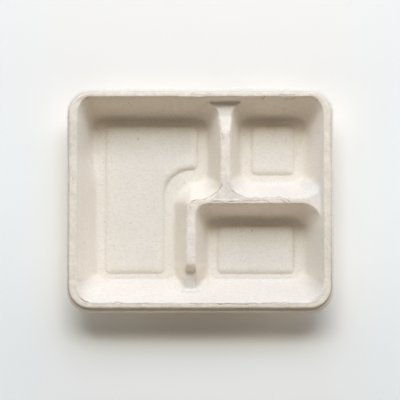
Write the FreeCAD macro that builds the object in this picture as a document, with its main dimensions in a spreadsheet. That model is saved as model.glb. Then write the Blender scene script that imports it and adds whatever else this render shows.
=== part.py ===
import FreeCAD, Part
import math
import os

import Sketcher

# ---------------------------------------------------------------------------
# Compartment meal tray, moulded from one sheet of fibre pulp.
#
# Frame: millimetres, +Z up, origin at the bottom centre of the tray.
# +X is the long side, +Y the short side.
#
# The sheet has one thickness all over, so it is the difference of two solids
# of the same form, one sheet thickness apart:
#   the bulk   - all that lies above the underside: rim, basin, three
#                compartment pods and the saddles where a divider drops
#                towards a side wall;
#   the hollow - all that lies above the top surface: basin, compartments and
#                saddles again, smaller by the wall.
# Each of these simple tapered solids is a body of its own, and booleans join
# them. The floor panels are pressed up in the same way, from below.
# ---------------------------------------------------------------------------

doc = FreeCAD.newDocument("MealTray")
sheet = doc.addObject("Spreadsheet::Sheet", "Dims")

ROWS = [
    # alias, value, meaning
    ("tray_length", 230.4, "overall, lip to lip, along X"),
    ("tray_width", 193.8, "overall, lip to lip, along Y"),
    ("tray_height", 38.0, "floor of the table to the flat of the rim"),
    ("wall", 1.0, "thickness of the pressed sheet"),
    ("draft", 19.0, "slope of every wall from the vertical, degrees"),
    ("lip_width", 1.5, "thin outward lip at the foot of the rim"),
    ("lip_drop", 4.5, "top of the lip below the flat of the rim"),
    ("lip_radius", 20.0, "plan radius of the outer corners"),
    ("shoulder", 3.4, "rounding of the rim's outer edge"),
    ("mouth_length", 212.2, "inner edge of the rim, along X"),
    ("mouth_width", 177.6, "inner edge of the rim, along Y"),
    ("mouth_radius", 15.0, "rounding of the four tray corners, inside"),
    ("ridge_drop", 6.0, "top of the dividers below the flat of the rim"),
    ("base_round", 5.0, "rounding where the walls meet the floor"),
    ("edge_round", 1.0, "rounding of the rim's inner edge"),
    # contours of the compartments at the level of the divider tops
    ("post_left", 17.4, "upright divider, left edge"),
    ("post_right", 25.4, "upright divider, right edge"),
    ("stem_left", -11.8, "lower divider, left edge"),
    ("stem_right", -4.4, "lower divider, right edge"),
    ("bar_top", 2.0, "cross divider, upper edge"),
    ("bar_bottom", -3.0, "cross divider, lower edge"),
    ("shelf_edge", 0.8, "foot of the large compartment's wide half"),
    ("round_post", 14.0, "plan radius beside the upright divider, far wall"),
    ("round_stem", 12.0, "plan radius beside the lower divider, near wall"),
    ("round_fork_a", 13.0, "large compartment, at the fork"),
    ("round_fork_b", 17.0, "upper right compartment, at the fork"),
    ("round_fork_c", 11.5, "lower right compartment, at the fork"),
    ("round_nose", 6.0, "outside corner inside the large compartment"),
    ("round_end_b", 15.0, "upper right compartment, at the right wall"),
    ("round_end_c", 16.5, "lower right compartment, at the right wall"),
    # saddles: the dividers drop before they reach the side walls
    ("post_saddle_start", 58.0, "upright divider starts to drop, Y"),
    ("post_saddle_foot", 73.0, "upright divider is down, Y"),
    ("post_saddle_drop", 5.0, "how far it drops"),
    ("stem_saddle_start", -56.0, "lower divider starts to drop, Y"),
    ("stem_saddle_foot", -64.5, "lower divider is down, Y"),
    ("stem_saddle_drop", 16.0, "how far it drops"),
    ("saddle_half", 21.0, "half width of the saddle blocks"),
    # raised floor panels, outline at their foot
    ("panel_rise", 1.8, "height of the raised floor panels"),
    ("panel_slope", 60.0, "slope of the panel edges from the vertical, degrees"),
    ("panel_round", 4.5, "plan radius of the panel corners"),
    ("panel_hollow", 25.0, "plan radius of the large panel's inside corner"),
    ("pa_left", -84.8, "large panel"),
    ("pa_right", -2.5, "large panel, wide half"),
    ("pa_top", 66.0, "large panel"),
    ("pa_step", 27.6, "large panel, foot of the wide half"),
    ("pa_inner", -32.5, "large panel, right edge of the narrow half"),
    ("pa_bottom", -65.9, "large panel"),
    ("pb_left", 45.8, "upper right panel"),
    ("pb_right", 84.2, "upper right panel"),
    ("pb_top", 65.6, "upper right panel"),
    ("pb_bottom", 23.1, "upper right panel"),
    ("pc_left", 16.7, "lower right panel"),
    ("pc_right", 83.8, "lower right panel"),
    ("pc_top", -23.8, "lower right panel"),
    ("pc_bottom", -65.9, "lower right panel"),
]


class Size:
    """A length that carries its number and the sheet expression behind it."""

    def __init__(self, value, text):
        self.value = float(value)
        self.text = text

    @staticmethod
    def of(other):
        return other if isinstance(other, Size) else Size(other, "(%r)" % float(other))

    def __add__(self, other):
        other = Size.of(other)
        return Size(self.value + other.value, "(%s + %s)" % (self.text, other.text))

    def __sub__(self, other):
        other = Size.of(other)
        return Size(self.value - other.value, "(%s - %s)" % (self.text, other.text))

    def __mul__(self, other):
        other = Size.of(other)
        return Size(self.value * other.value, "(%s * %s)" % (self.text, other.text))

    def __truediv__(self, other):
        other = Size.of(other)
        return Size(self.value / other.value, "(%s / %s)" % (self.text, other.text))

    def __neg__(self):
        return Size(-self.value, "(0 - %s)" % self.text)


def tan_of(angle):
    return Size(math.tan(math.radians(angle.value)), "tan(%s)" % angle.text)


def cos_of(angle):
    return Size(math.cos(math.radians(angle.value)), "cos(%s)" % angle.text)


D = {}
for number, (alias, value, meaning) in enumerate(ROWS, start=1):
    sheet.set("A%d" % number, alias)
    sheet.set("B%d" % number, "%g" % value)
    sheet.set("C%d" % number, meaning)
    sheet.setAlias("B%d" % number, alias)
    D[alias] = Size(value, "Dims.%s" % alias)
doc.recompute()


def new_body(name):
    made = doc.addObject("PartDesign::Body", name)
    made.Label = name
    doc.recompute()
    return made


def origin_plane(body, role):
    for item in body.Origin.OriginFeatures:
        if item.Role == role:
            return item
    raise RuntimeError("no plane " + role)


def place_sketch(body, name, role, offset):
    """A sketch parallel to one of the body's own origin planes."""
    sk = body.newObject("Sketcher::SketchObject", name)
    sk.AttachmentSupport = [(origin_plane(body, role), "")]
    sk.MapMode = "FlatFace"
    sk.AttachmentOffset = FreeCAD.Placement(
        FreeCAD.Vector(0, 0, offset.value), FreeCAD.Rotation())
    sk.setExpression(".AttachmentOffset.Base.z", offset.text)
    return sk


def level_sketch(body, name, level):
    return place_sketch(body, name, "XY_Plane", level)


def upright_sketch(body, name, x):
    """Across the tray: the sketch's own axes run along Y and Z."""
    return place_sketch(body, name, "YZ_Plane", x)


def outline(sk, sides, radii):
    """A closed outline of upright and level lines.

    sides are ("x", Size) or ("y", Size) in anticlockwise order; radii[i] is
    the rounding between side i and the next one, or None for a sharp corner.
    """
    n = len(sides)
    corner = []
    for i in range(n):
        a, b = sides[i], sides[(i + 1) % n]
        x = a[1].value if a[0] == "x" else b[1].value
        y = a[1].value if a[0] == "y" else b[1].value
        corner.append(FreeCAD.Vector(x, y, 0))
    turns = []
    for i in range(n):
        before, here, after = corner[i - 1], corner[i], corner[(i + 1) % n]
        if radii[i] is None:
            turns.append((None, here, here, None))
            continue
        d1 = (here - before).normalize()
        d2 = (after - here).normalize()
        r = radii[i].value
        left = (d1.x * d2.y - d1.y * d2.x) > 0
        first = here - d1 * r
        last = here + d2 * r
        centre = first + d2 * r
        a1 = math.atan2(first.y - centre.y, first.x - centre.x)
        a2 = math.atan2(last.y - centre.y, last.x - centre.x)
        if not left:
            a1, a2 = a2, a1
        if a2 < a1:
            a2 += 2 * math.pi
        arc = Part.ArcOfCircle(
            Part.Circle(centre, FreeCAD.Vector(0, 0, 1), r), a1, a2)
        turns.append((left, first, last, arc))
    ids = []
    for i in range(n):
        line = sk.addGeometry(Part.LineSegment(turns[i - 1][2], turns[i][1]), False)
        arc = None if turns[i][3] is None else sk.addGeometry(turns[i][3], False)
        ids.append((line, arc))
    for i in range(n):
        line, arc = ids[i]
        following = ids[(i + 1) % n][0]
        sk.addConstraint(Sketcher.Constraint(
            "Vertical" if sides[i][0] == "x" else "Horizontal", line))
        if arc is None:
            sk.addConstraint(Sketcher.Constraint("Coincident", line, 2, following, 1))
            continue
        entry, leave = (1, 2) if turns[i][0] else (2, 1)
        sk.addConstraint(Sketcher.Constraint("Tangent", line, 2, arc, entry))
        sk.addConstraint(Sketcher.Constraint("Tangent", arc, leave, following, 1))
    for i in range(n):
        line, arc = ids[i]
        kind, size = sides[i][0], sides[i][1]
        c = sk.addConstraint(Sketcher.Constraint(
            "DistanceX" if kind == "x" else "DistanceY", line, 1, size.value))
        sk.setExpression("Constraints[%d]" % c, size.text)
        if arc is not None:
            c = sk.addConstraint(Sketcher.Constraint("Radius", arc, radii[i].value))
            sk.setExpression("Constraints[%d]" % c, radii[i].text)
    return sk


def polygon(sk, points):
    """A closed outline of straight lines through points of two Sizes each."""
    n = len(points)
    at = [FreeCAD.Vector(p[0].value, p[1].value, 0) for p in points]
    ids = [sk.addGeometry(Part.LineSegment(at[i], at[(i + 1) % n]), False)
           for i in range(n)]
    for i in range(n):
        sk.addConstraint(Sketcher.Constraint(
            "Coincident", ids[i], 2, ids[(i + 1) % n], 1))
    for i in range(n):
        for kind, size in (("DistanceX", points[i][0]), ("DistanceY", points[i][1])):
            c = sk.addConstraint(Sketcher.Constraint(kind, ids[i], 1, size.value))
            sk.setExpression("Constraints[%d]" % c, size.text)
    return sk


def check(feature):
    doc.recompute()
    if "Invalid" in feature.State or "Error" in feature.State:
        raise RuntimeError("%s failed: %s" % (feature.Name, feature.getStatusString()))
    shape = feature.Shape
    if shape.isNull() or not shape.isValid() or shape.Volume <= 0:
        raise RuntimeError("%s has a bad shape" % feature.Name)
    print("%-18s volume %10.1f  solids %d  faces %d"
          % (feature.Name, shape.Volume, len(shape.Solids), len(shape.Faces)))
    return feature


def volume(body):
    return 0.0 if body.Shape.isNull() else body.Shape.Volume


def pad(body, name, sk, length, down=False, taper=None):
    before = volume(body)
    f = body.newObject("PartDesign::Pad", name)
    f.Profile = sk
    f.Length = length.value
    f.setExpression("Length", length.text)
    f.Reversed = down
    if taper is not None:
        f.TaperAngle = taper.value
        f.setExpression("TaperAngle", taper.text)
    check(f)
    if not f.Shape.Volume > before + 1e-3:
        raise RuntimeError("%s added nothing" % name)
    return f


def draft(body, name, angle, level):
    """Slope every upright face inward, away from the face at the level."""
    base = body.Tip
    sides, neutral = [], None
    for i, face in enumerate(base.Shape.Faces):
        box = face.BoundBox
        if box.ZLength > 0.1:
            sides.append("Face%d" % (i + 1))
        elif abs(box.ZMax - level.value) < 1e-6:
            neutral = "Face%d" % (i + 1)
    f = body.newObject("PartDesign::Draft", name)
    f.Base = (base, sides)
    f.NeutralPlane = (base, [neutral])
    f.Angle = angle.value
    f.setExpression("Angle", angle.text)
    f.Reversed = True
    check(f)
    if not f.Shape.Volume < base.Shape.Volume:
        raise RuntimeError("%s slopes outward" % name)
    return f


def pocket(body, name, sk, length, up=False):
    before = volume(body)
    f = body.newObject("PartDesign::Pocket", name)
    f.Profile = sk
    f.Length = length.value
    f.setExpression("Length", length.text)
    f.Reversed = up
    check(f)
    if not f.Shape.Volume < before - 1e-3:
        raise RuntimeError("%s cut nothing" % name)
    return f


def fillet(body, name, radius, test):
    """Round every edge of the body for which test(edge) is true."""
    base = body.Tip
    names = ["Edge%d" % (i + 1) for i, e in enumerate(base.Shape.Edges) if test(e)]
    if not names:
        raise RuntimeError("%s found no edges" % name)
    f = body.newObject("PartDesign::Fillet", name)
    f.Base = (base, names)
    f.Radius = radius.value
    f.setExpression("Radius", radius.text)
    return check(f)


def at_level(edge, z, tol=1e-4):
    box = edge.BoundBox
    return abs(box.ZMin - z) < tol and abs(box.ZMax - z) < tol


def top_end(edge):
    """Plan position of the higher end of a sloping edge, or None."""
    a, b = edge.Vertexes[0].Point, edge.Vertexes[-1].Point
    if abs(a.z - b.z) < 0.5:
        return None
    return a if a.z > b.z else b


def boolean(kind, name, parts):
    f = doc.addObject(kind, name)
    if kind == "Part::Cut":
        f.Base, f.Tool = parts
    else:
        f.Shapes = parts
    f.Refine = True
    return check(f)


# --- derived levels and offsets --------------------------------------------
top = D["tray_height"]
wall = D["wall"]
slope = tan_of(D["draft"])
across = wall / cos_of(D["draft"])        # wall thickness measured level
ridge = top - D["ridge_drop"]             # top of the dividers
ridge_under = ridge - wall
lip_under = top - D["lip_drop"] - wall
zero = Size(0.0, "0")
half_x = D["mouth_length"] / 2
half_y = D["mouth_width"] / 2
side_x = half_x - D["ridge_drop"] * slope  # side walls at the ridge level
side_y = half_y - D["ridge_drop"] * slope


# --- rim: hollow from below, with a thin lip round its foot -------------------
def rounded(sk, x, y, r):
    return outline(sk, [("x", x), ("y", y), ("x", -x), ("y", -y)], [r, r, r, r])


rim_x = D["tray_length"] / 2 - D["lip_width"]
rim_y = D["tray_width"] / 2 - D["lip_width"]
rim_r = D["lip_radius"] - D["lip_width"]

rim = new_body("Rim")
sk = rounded(level_sketch(rim, "RimOutline", lip_under), rim_x, rim_y, rim_r)
pad(rim, "RimBlock", sk, D["lip_drop"] + wall)
fillet(rim, "RimShoulder", D["shoulder"], lambda e: at_level(e, top.value))
sk = rounded(level_sketch(rim, "RimHollowOutline", lip_under),
             rim_x - wall, rim_y - wall, rim_r - wall)
pocket(rim, "RimHollow", sk, D["lip_drop"], up=True)
fillet(rim, "RimHollowRound", D["shoulder"] - wall,
       lambda e: at_level(e, top.value - wall.value))
sk = level_sketch(rim, "LipOutline", lip_under)
rounded(sk, D["tray_length"] / 2, D["tray_width"] / 2, D["lip_radius"])
rounded(sk, rim_x - wall / 2, rim_y - wall / 2, rim_r - wall / 2)
pad(rim, "Lip", sk, wall)


# --- basin and compartments ---------------------------------------------------
# Each compartment at the ridge level: sides anticlockwise from the right one.
# The third entry is +1 where the side's outward direction is positive. The
# fourth is the rounding between this side and the next: True marks the nose,
# the outside corner in the large compartment, which widens with depth.
PODS = {
    "Large": [
        ("x", D["post_left"], +1, D["round_post"]),
        ("y", side_y, +1, D["mouth_radius"]),
        ("x", -side_x, -1, D["mouth_radius"]),
        ("y", -side_y, -1, D["round_stem"]),
        ("x", D["stem_left"], +1, True),
        ("y", D["shelf_edge"], -1, D["round_fork_a"]),
    ],
    "Upper": [
        ("x", side_x, +1, D["mouth_radius"]),
        ("y", side_y, +1, D["round_post"]),
        ("x", D["post_right"], -1, D["round_fork_b"]),
        ("y", D["bar_top"], -1, D["round_end_b"]),
    ],
    "Lower": [
        ("x", side_x, +1, D["round_end_c"]),
        ("y", D["bar_bottom"], +1, D["round_fork_c"]),
        ("x", D["stem_right"], -1, D["round_stem"]),
        ("y", -side_y, -1, D["mouth_radius"]),
    ],
}


def tapered(name, sides, level, depth, outward, grow, base):
    """A solid that hangs from level and narrows downward with the draft.

    sides is a contour at the ridge level; outward moves it out at level;
    grow is added to the roundings of its upright corners, and base, if
    given, is the rounding of its foot.
    """
    body = new_body(name)
    placed, nose, corners = [], [], []
    for kind, size, sign, r in sides:
        placed.append((kind, size + outward if sign > 0 else size - outward))
        nose.append(D["round_nose"] - outward if r is True else None)
    n = len(placed)
    for i in range(n):
        if sides[i][3] is True:
            continue
        a, b = placed[i], placed[(i + 1) % n]
        x = a[1].value if a[0] == "x" else b[1].value
        y = a[1].value if a[0] == "y" else b[1].value
        corners.append((x, y, sides[i][3] + grow))
    sk = outline(level_sketch(body, name + "Outline", level), placed, nose)
    pad(body, name + "Pad", sk, depth, down=True)
    draft(body, name + "Draft", D["draft"], level)
    for k, (x, y, r) in enumerate(corners):
        def here(edge):
            p = top_end(edge)
            return p is not None and abs(p.x - x) < 0.01 and abs(p.y - y) < 0.01
        fillet(body, "%sCorner%d" % (name, k + 1), r, here)
    if base is not None:
        foot = level.value - depth.value
        fillet(body, name + "Base", base, lambda e: at_level(e, foot))
    return body


MOUTH = [("x", half_x, +1, D["mouth_radius"]), ("y", half_y, +1, D["mouth_radius"]),
         ("x", -half_x, -1, D["mouth_radius"]), ("y", -half_y, -1, D["mouth_radius"])]

bulk = [rim,
        tapered("BasinBulk", MOUTH, top, top - ridge_under, across, wall, None)]
hollow = [tapered("BasinHollow", MOUTH, top, top - ridge, zero, zero, None)]
for label, sides in PODS.items():
    bulk.append(tapered(label + "Bulk", sides, ridge_under, ridge_under,
                        across - wall * slope, wall, D["base_round"] + wall))
    hollow.append(tapered(label + "Hollow", sides, ridge, ridge - wall,
                          zero, zero, D["base_round"]))


# --- saddles --------------------------------------------------------------------
def tan_half(drop, run):
    """Tangent of half the angle of a slope that falls drop over run."""
    return Size(math.tan(math.atan(drop.value / run.value) / 2),
                "tan(atan(%s / %s) / 2)" % (drop.text, run.text))


def side_wall(level, outward, sign):
    """Y of the long side's wall at a level."""
    y = half_y + (level - top) * slope + outward
    return y if sign > 0 else -y


def saddle_points(start, foot, drop, sign, under):
    """Corners of a saddle block, from its surface or from its underside."""
    run = foot - start if sign > 0 else start - foot
    if under:
        back = wall * tan_half(drop, run)
        start = start - back if sign > 0 else start + back
        foot = foot - back if sign > 0 else foot + back
        high, outward = ridge_under, across
    else:
        high, outward = ridge, zero
    low = high - drop
    points = [(start, high), (foot, low),
              (side_wall(low, outward, sign), low),
              (side_wall(high, outward, sign), high)]
    return points if sign > 0 else points[::-1]


# name, divider's middle, start, foot, drop, side of the tray
SADDLES = [
    ("Post", (D["post_left"] + D["post_right"]) / 2,
     D["post_saddle_start"], D["post_saddle_foot"], D["post_saddle_drop"], +1),
    ("Stem", (D["stem_left"] + D["stem_right"]) / 2,
     D["stem_saddle_start"], D["stem_saddle_foot"], D["stem_saddle_drop"], -1),
]
for label, middle, start, foot, drop, sign in SADDLES:
    for group, kind, under in ((bulk, "Bulk", True), (hollow, "Hollow", False)):
        name = label + "Saddle" + kind
        body = new_body(name)
        sk = upright_sketch(body, name + "Outline", middle - D["saddle_half"])
        polygon(sk, saddle_points(start, foot, drop, sign, under))
        pad(body, name + "Pad", sk, D["saddle_half"] * 2)
        group.append(body)

bulk_solid = boolean("Part::MultiFuse", "Bulk", bulk)
hollow_solid = boolean("Part::MultiFuse", "Hollow", hollow)
shell = boolean("Part::Cut", "Shell", (bulk_solid, hollow_solid))

# --- raised floor panels -----------------------------------------------------
PANELS = {
    "Large": [("x", D["pa_right"], +1, D["panel_round"]),
              ("y", D["pa_top"], +1, D["panel_round"]),
              ("x", D["pa_left"], -1, D["panel_round"]),
              ("y", D["pa_bottom"], -1, D["panel_round"]),
              ("x", D["pa_inner"], +1, D["panel_hollow"]),
              ("y", D["pa_step"], -1, D["panel_round"])],
    "Upper": [("x", D["pb_right"], +1, D["panel_round"]),
              ("y", D["pb_top"], +1, D["panel_round"]),
              ("x", D["pb_left"], -1, D["panel_round"]),
              ("y", D["pb_bottom"], -1, D["panel_round"])],
    "Lower": [("x", D["pc_right"], +1, D["panel_round"]),
              ("y", D["pc_top"], +1, D["panel_round"]),
              ("x", D["pc_left"], -1, D["panel_round"]),
              ("y", D["pc_bottom"], -1, D["panel_round"])],
}


def panel(name, sides, level):
    """A low block that narrows upward from level."""
    body = new_body(name)
    sk = outline(level_sketch(body, name + "Outline", level),
                 [(kind, size) for kind, size, sign, r in sides],
                 [r for kind, size, sign, r in sides])
    pad(body, name + "Pad", sk, D["panel_rise"], taper=-D["panel_slope"])
    return body


raised = boolean("Part::MultiFuse", "Raised", [shell] + [
    panel(label + "Panel", sides, wall) for label, sides in PANELS.items()])
recess = boolean("Part::MultiFuse", "Recess", [
    panel(label + "Recess", sides, zero) for label, sides in PANELS.items()])
pressed = boolean("Part::Cut", "Pressed", (raised, recess))

# The finished tray takes the pressed sheet and rounds the edge of its mouth.
tray = doc.addObject("PartDesign::Body", "Tray")
tray.Label = "tray"
tray.BaseFeature = pressed
doc.recompute()
fillet(tray, "MouthRound", D["edge_round"],
       lambda e: at_level(e, top.value)
       and max(abs(e.BoundBox.XMin), abs(e.BoundBox.XMax)) < half_x.value + 0.01
       and max(abs(e.BoundBox.YMin), abs(e.BoundBox.YMax)) < half_y.value + 0.01)

# --- check and write ---------------------------------------------------------
doc.recompute()
for item in doc.Objects:
    if "Invalid" in item.State or "Error" in item.State:
        raise RuntimeError("%s is in state %s" % (item.Name, item.State))

shape = tray.Shape
box = shape.BoundBox
print("solids", len(shape.Solids), "faces", len(shape.Faces), "volume %.0f" % shape.Volume)
print("box %.2f..%.2f  %.2f..%.2f  %.2f..%.2f" % (
    box.XMin, box.XMax, box.YMin, box.YMax, box.ZMin, box.ZMax))
if shape.isNull() or not shape.isValid() or len(shape.Solids) != 1:
    raise RuntimeError("the tray is not one valid solid")

os.makedirs("parts", exist_ok=True)
tray.Shape.exportStep("parts/%s.step" % tray.Label)
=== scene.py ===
import math

import bpy
import numpy as np
from mathutils import Matrix, Vector
from mathutils.geometry import delaunay_2d_cdt


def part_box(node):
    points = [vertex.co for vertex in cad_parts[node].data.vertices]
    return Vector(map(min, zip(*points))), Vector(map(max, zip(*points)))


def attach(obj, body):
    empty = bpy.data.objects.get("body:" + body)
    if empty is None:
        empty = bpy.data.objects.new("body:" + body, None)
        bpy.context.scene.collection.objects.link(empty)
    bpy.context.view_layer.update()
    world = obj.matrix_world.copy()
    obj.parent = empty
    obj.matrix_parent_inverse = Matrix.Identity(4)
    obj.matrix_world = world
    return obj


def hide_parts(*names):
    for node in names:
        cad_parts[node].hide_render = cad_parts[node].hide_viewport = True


# ---------------------------------------------------------------------------
# Compartment meal tray, pressed from one sheet of plant fibre.
#
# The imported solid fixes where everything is. This script reads its two skins
# (top and underside) as height maps, rounds the sharp edges, adds the dents,
# wavy edges and press marks of a real moulded tray, and lays a fine mesh over
# them that stands for the CAD node.
# ---------------------------------------------------------------------------

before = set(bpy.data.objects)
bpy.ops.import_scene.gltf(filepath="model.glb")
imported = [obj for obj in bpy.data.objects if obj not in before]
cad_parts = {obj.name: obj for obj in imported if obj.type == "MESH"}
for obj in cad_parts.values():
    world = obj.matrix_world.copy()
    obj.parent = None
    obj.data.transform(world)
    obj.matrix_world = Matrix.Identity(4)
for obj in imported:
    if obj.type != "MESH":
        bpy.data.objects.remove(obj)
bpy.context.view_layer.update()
node_lo, node_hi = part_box("tray")
MM = 1000.0

# Outline of the lip, in millimetres.
HALF_X = (node_hi.x - node_lo.x) / 2 * MM
HALF_Y = (node_hi.y - node_lo.y) / 2 * MM
TOP_Z = node_hi.z * MM
LIP_TOP = TOP_Z - 4.5
LIP_LOW = LIP_TOP - 1.0

# Outlines round the rim (half length, half width, corner radius): the lip's edge,
# the foot of the skirt, the start of the flat and the edge of the mouth.
LIP = (HALF_X, HALF_Y, 20.0)
FOOT = (HALF_X - 2.0, HALF_Y - 2.9, 19.6)
FLAT = (HALF_X - 4.8, HALF_Y - 5.7, 18.0)
MOUTH = (HALF_X - 9.1, HALF_Y - 8.1, 16.0)


# --- height maps of the solid's two skins -----------------------------------
CELL = 0.3
GX0, GY0 = -HALF_X - 2.4, -HALF_Y - 2.4
GNX = int(math.ceil((2 * HALF_X + 4.8) / CELL)) + 1
GNY = int(math.ceil((2 * HALF_Y + 4.8) / CELL)) + 1
GX = GX0 + CELL * np.arange(GNX)
GY = GY0 + CELL * np.arange(GNY)


def skin(obj, up):
    """Height map of the faces that look up, or of those that look down."""
    mesh = obj.data
    mesh.calc_loop_triangles()
    co = np.empty(len(mesh.vertices) * 3)
    mesh.vertices.foreach_get("co", co)
    co = co.reshape(-1, 3) * MM
    tri = np.empty(len(mesh.loop_triangles) * 3, np.int32)
    mesh.loop_triangles.foreach_get("vertices", tri)
    t = co[tri.reshape(-1, 3)]
    n = np.cross(t[:, 1] - t[:, 0], t[:, 2] - t[:, 0])
    n /= np.maximum(np.linalg.norm(n, axis=1), 1e-12)[:, None]
    keep = n[:, 2] > 0.01 if up else n[:, 2] < -0.01
    out = np.full((GNX, GNY), -1e9 if up else 1e9)
    pick = np.maximum if up else np.minimum
    for a, b, c in t[keep]:
        xs, ys = (a[0], b[0], c[0]), (a[1], b[1], c[1])
        i0 = int(math.ceil((min(xs) - GX0) / CELL - 1e-6))
        i1 = int(math.floor((max(xs) - GX0) / CELL + 1e-6))
        j0 = int(math.ceil((min(ys) - GY0) / CELL - 1e-6))
        j1 = int(math.floor((max(ys) - GY0) / CELL + 1e-6))
        if i1 < i0 or j1 < j0:
            continue
        d = (b[1] - c[1]) * (a[0] - c[0]) + (c[0] - b[0]) * (a[1] - c[1])
        if abs(d) < 1e-9:
            continue
        x = GX[i0:i1 + 1][:, None] - c[0]
        y = GY[j0:j1 + 1][None, :] - c[1]
        p = ((b[1] - c[1]) * x + (c[0] - b[0]) * y) / d
        q = ((c[1] - a[1]) * x + (a[0] - c[0]) * y) / d
        r = 1 - p - q
        inside = (p > -1e-4) & (q > -1e-4) & (r > -1e-4)
        if not inside.any():
            continue
        z = p * a[2] + q * b[2] + r * c[2]
        part = out[i0:i1 + 1, j0:j1 + 1]
        part[inside] = pick(part[inside], z[inside])
    return out


def blur(h, sigma):
    """Separable Gaussian, sigma in millimetres."""
    k = int(math.ceil(3 * sigma / CELL))
    w = np.exp(-0.5 * (np.arange(-k, k + 1) * CELL / sigma) ** 2)
    w /= w.sum()
    for axis in (0, 1):
        pad = [(k, k) if a == axis else (0, 0) for a in (0, 1)]
        p = np.pad(h, pad, mode="edge")
        h = sum(w[i] * (p[i:i + GNX, :] if axis == 0 else p[:, i:i + GNY])
                for i in range(2 * k + 1))
    return h


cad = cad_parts["tray"]
top_raw = skin(cad, True)
low_raw = skin(cad, False)
top_raw[top_raw < -1e8] = LIP_TOP
low_raw[low_raw > 1e8] = LIP_LOW


# --- raised floor panels: their edges swell up instead of sloping straight -----
PANEL_RISE, PANEL_RUN = 2.1, 6.0
PANEL_MID = [(-84.8, -2.5, 27.6, 67.4), (-84.8, -32.5, -65.2, 67.4),
             (45.8, 84.0, 23.1, 67.2), (15.4, 83.6, -65.2, -22.3)]


def in_box(x, y, box, r):
    """Distance inside a box with rounded corners, negative outside."""
    x0, x1, y0, y1 = box
    qx = np.abs(x - (x0 + x1) / 2) - ((x1 - x0) / 2 - r)
    qy = np.abs(y - (y0 + y1) / 2) - ((y1 - y0) / 2 - r)
    return r - np.hypot(np.maximum(qx, 0), np.maximum(qy, 0)) - np.minimum(np.maximum(qx, qy), 0)


def inside(x, y, ring):
    """Distance inside one of the rim's outlines, negative outside."""
    a, b, r = ring
    return in_box(x, y, (-a, a, -b, b), r)


def smooth(t):
    t = np.clip(t, 0, 1)
    return t * t * (3 - 2 * t)


def past_mouth(x, y):
    """Distance outward of the mouth's edge, which lies a little forward of centre."""
    return -inside(x, y - 0.35 - 0.5 * smooth((-20.0 - y) / 50), MOUTH)


def in_foot(x, y):
    """Distance inside the foot of the skirt: further out on the left, further in in front."""
    return inside(x + 0.7 * smooth((-60.0 - x) / 40), y - 0.3 * smooth((-60.0 - y) / 25), FOOT)


def in_panels(x, y):
    """Distance inside the outline of the nearest panel foot, negative outside."""
    a, b, c, d = PANEL_MID
    large = np.maximum(in_box(x, y, a, 4.5), in_box(x, y, b, 4.5))
    cx, cy, r = -7.5, 2.6, 25.0
    bend = np.minimum(np.hypot(x - cx, y - cy) - r,
                      in_box(x, y, (-84.8, -2.5, -65.2, 67.4), 4.5))
    large = np.where((x < cx) & (y > cy) & (x > cx - r - 14) & (y < cy + r + 14), bend, large)
    return np.maximum(large, np.maximum(in_box(x, y, c, 4.5), in_box(x, y, d, 4.5)))


def swell(d, more=0.0):
    """Height of a panel at distance d inside its foot: steep at the foot, level inside."""
    rise = PANEL_RISE + more
    r = (PANEL_RUN ** 2 + rise ** 2) / (2 * rise)
    t = PANEL_RUN - np.clip(d, 0, PANEL_RUN)
    return np.sqrt(r * r - t * t) - (r - rise)


px, py = np.meshgrid(GX, GY, indexing="ij")
inset_map = in_panels(px, py)
on_panel = inset_map > -0.6
top_raw = np.where(on_panel, np.minimum(top_raw, 1.0), top_raw)
low_raw = np.where(on_panel, np.minimum(low_raw, 0.0), low_raw)

# The rim's own profile is laid on later, so here its flat runs on to the edge.
on_rim = -inside(px, py, MOUTH)
top_raw = np.where(on_rim > 0.6, TOP_Z, top_raw)
low_raw = np.where(on_rim > 1.0, TOP_Z - 1.0, low_raw)

# The large panel's edge stands out more where it bends round the dividers.
more = 0.8 * smooth(1 - np.abs(np.hypot(px + 7.5, py - 2.6) - 28.0) / 12.0) \
    * smooth((px + 36) / 6) * smooth((-2.0 - px) / 5) * smooth((py - 2.0) / 5)


def sample(h, x, y):
    """Bilinear value of a height map."""
    u = np.clip((x - GX0) / CELL, 0, GNX - 1.001)
    v = np.clip((y - GY0) / CELL, 0, GNY - 1.001)
    i, j = u.astype(int), v.astype(int)
    a, b = u - i, v - j
    return ((h[i, j] * (1 - a) + h[i + 1, j] * a) * (1 - b)
            + (h[i, j + 1] * (1 - a) + h[i + 1, j + 1] * a) * b)


def fuller(h):
    """The front wall and the walls behind the cross divider run out further into the
    compartments than the straight draft of the solid: the map is stretched there."""
    by_stem = smooth((px + 21) / 4) * smooth((5 - px) / 4)
    y = py - np.interp(py, [-89.5, -71.4, -65.8, 60.0, 85.0], [0.85, 4.7, 0.0, 0.0, 0.35]) * (1 - by_stem) \
        - 0.85 * by_stem * smooth((-70 - py) / 10)
    run = 3.6 - 1.4 * smooth((px - 6) / 30)
    run = run * smooth((px + 17) / 10) * smooth((101 - px) / 4)
    start = 0.6 + 1.6 * smooth((px - 6) / 30)
    rise = np.clip((py - start) / (15.6 - start), 0, 1) * np.clip((22.5 - py) / 6.9, 0, 1)
    x = px + 4.6 * np.interp(px, [-104.0, -95.0, -78.0], [0.0, 1.0, 0.0]) * smooth((py - 12) / 45) \
        + 1.2 * np.interp(px, [27.5, 36.0, 48.0], [0.0, 1.0, 0.0]) * smooth((py - 45) / 20) \
        - 2.4 * np.interp(px, [82.0, 94.0, 104.0], [0.0, 1.0, 0.0]) * smooth((py - 30) / 30)
    return sample(h, x, y - run * rise)


top_raw = fuller(top_raw)
low_raw = fuller(low_raw)

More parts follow.
